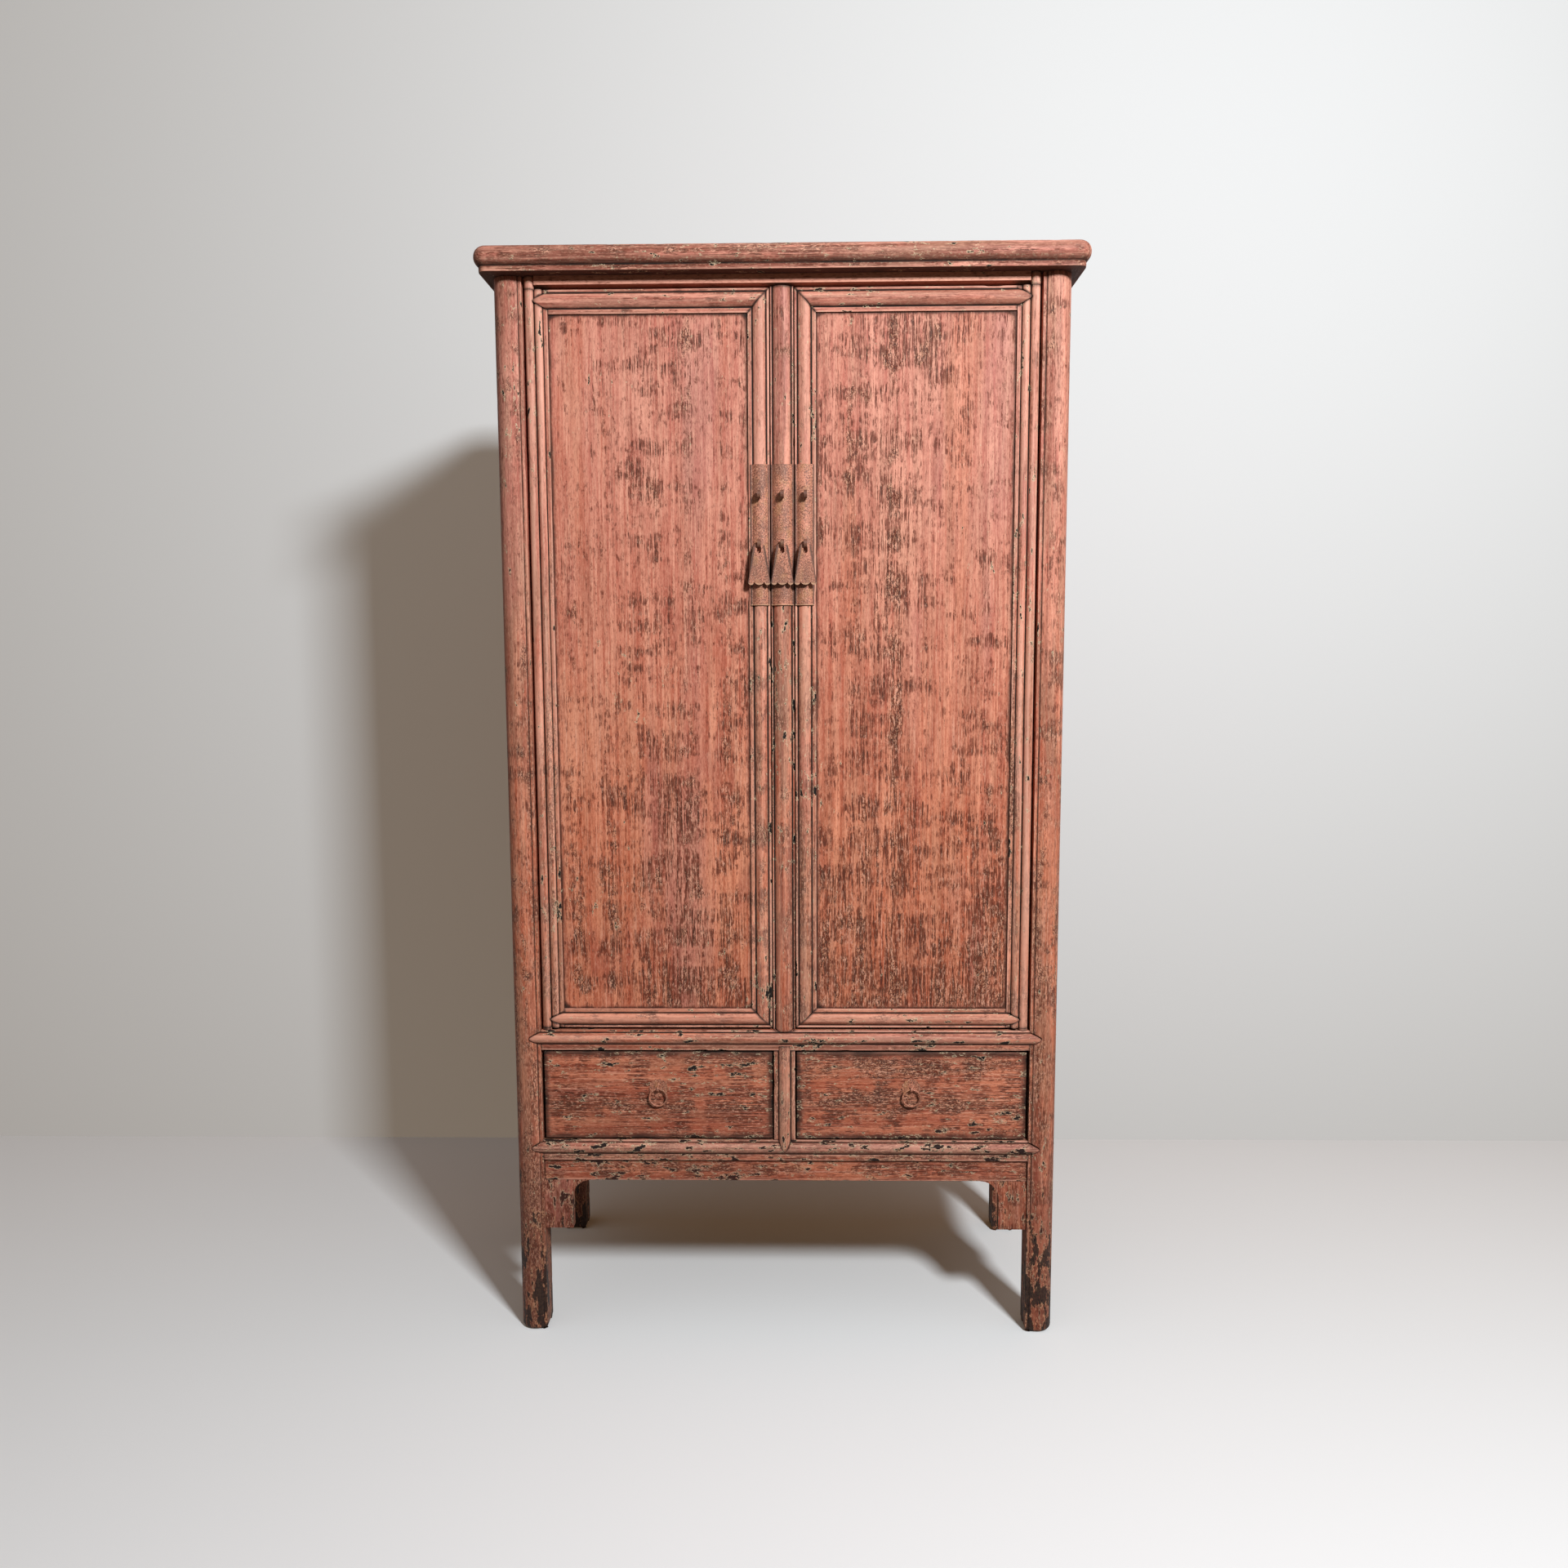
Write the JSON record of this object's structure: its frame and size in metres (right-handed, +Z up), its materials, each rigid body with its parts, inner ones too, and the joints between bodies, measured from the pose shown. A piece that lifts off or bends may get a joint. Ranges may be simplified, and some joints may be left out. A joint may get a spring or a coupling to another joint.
{
  "type": "wedding cabinet",
  "caption": "Tall round-corner wardrobe in worn pink paint, with framed doors on wooden pivots, a lift-out centre stile, iron lock plates, drawers with ring pulls and a mitred top.",
  "frame": {"origin": "centre of the footprint, on the floor", "axes": "+Z up, the doors face -Y, +X to the viewer's right"},
  "size_m": [1.02, 0.5, 1.9],
  "materials": {
    "painted_wood": "worn, rubbed pink-red paint over dark wood, matte",
    "bare_wood": "unpainted aged wood, matte",
    "iron": "forged iron, rusty with traces of paint"
  },
  "bodies": {
    "carcass": {"front_top_rail": "painted_wood", "front_mid_rail": "painted_wood", "front_low_rail": "painted_wood", "drawer_divider": "painted_wood", "front_apron": "painted_wood", "front_brackets": "painted_wood", "side_rails_left": "painted_wood", "side_rails_right": "painted_wood", "side_panels_left": "painted_wood", "side_panels_right": "painted_wood", "side_aprons": "painted_wood", "top_frame_front": "painted_wood", "top_frame_back": "painted_wood", "top_frame_ends": "painted_wood", "top_panel": "painted_wood", "back_rails": "painted_wood", "back_panels": "painted_wood", "back_muntin": "painted_wood", "leg_front_left": "painted_wood", "leg_front_right": "painted_wood", "leg_back_left": "painted_wood", "leg_back_right": "painted_wood", "deck_board": "bare_wood", "shelves": "bare_wood", "shelf_bearers": "bare_wood", "drawer_runners": "bare_wood"},
    "door_left": {"door_left_outer_stile": "painted_wood", "door_left_meeting_stile": "painted_wood", "door_left_top_rail": "painted_wood", "door_left_bottom_rail": "painted_wood", "door_left_panel": "painted_wood", "door_left_battens": "painted_wood", "door_left_face_plate": "iron", "door_left_staples": "iron"},
    "door_right": {"door_right_outer_stile": "painted_wood", "door_right_meeting_stile": "painted_wood", "door_right_top_rail": "painted_wood", "door_right_bottom_rail": "painted_wood", "door_right_panel": "painted_wood", "door_right_battens": "painted_wood", "door_right_face_plate": "iron", "door_right_staples": "iron"},
    "centre_stile": {"centre_stile": "painted_wood", "centre_plate": "iron", "centre_staples": "iron"},
    "pendant_left": {"door_left_pendant": "iron"},
    "pendant_right": {"door_right_pendant": "iron"},
    "pendant_centre": {"centre_pendant": "iron"},
    "drawer_left": {"drawer_left_front": "painted_wood", "drawer_left_box": "bare_wood", "drawer_left_bottom": "bare_wood", "drawer_left_pull_plate": "iron", "drawer_left_pull_staple": "iron"},
    "ring_left": {"drawer_left_pull_ring": "iron"},
    "drawer_right": {"drawer_right_front": "painted_wood", "drawer_right_box": "bare_wood", "drawer_right_bottom": "bare_wood", "drawer_right_pull_plate": "iron", "drawer_right_pull_staple": "iron"},
    "ring_right": {"drawer_right_pull_ring": "iron"}
  },
  "joints": [
    {"name": "door_left_swing", "type": "hinge", "parent": "carcass", "child": "door_left", "pos_m": [-0.423, -0.209, 1.2], "axis": [0, 0, -1], "range_deg": [0, 105]},
    {"name": "door_right_swing", "type": "hinge", "parent": "carcass", "child": "door_right", "pos_m": [0.423, -0.209, 1.2], "axis": [0, 0, 1], "range_deg": [0, 105]},
    {"name": "centre_stile_lift", "type": "slide", "parent": "carcass", "child": "centre_stile", "axis": [0, 0, 1], "range_m": [0, 0.004]},
    {"name": "pendant_left_swing", "type": "hinge", "parent": "door_left", "child": "pendant_left", "pos_m": [-0.0393, -0.22595, 1.4119], "axis": [-1, 0, 0], "range_deg": [-5, 85]},
    {"name": "pendant_right_swing", "type": "hinge", "parent": "door_right", "child": "pendant_right", "pos_m": [0.0393, -0.22595, 1.4119], "axis": [-1, 0, 0], "range_deg": [-5, 85]},
    {"name": "pendant_centre_swing", "type": "hinge", "parent": "centre_stile", "child": "pendant_centre", "pos_m": [0, -0.22695, 1.4119], "axis": [-1, 0, 0], "range_deg": [-5, 85]},
    {"name": "drawer_left_slide", "type": "slide", "parent": "carcass", "child": "drawer_left", "axis": [0, -1, 0], "range_m": [0, 0.3]},
    {"name": "ring_left_swing", "type": "hinge", "parent": "drawer_left", "child": "ring_left", "pos_m": [-0.22575, -0.2221, 0.4571], "axis": [-1, 0, 0], "range_deg": [-8, 90]},
    {"name": "drawer_right_slide", "type": "slide", "parent": "carcass", "child": "drawer_right", "axis": [0, -1, 0], "range_m": [0, 0.3]},
    {"name": "ring_right_swing", "type": "hinge", "parent": "drawer_right", "child": "ring_right", "pos_m": [0.22575, -0.2221, 0.4571], "axis": [-1, 0, 0], "range_deg": [-8, 90]}
  ]
}
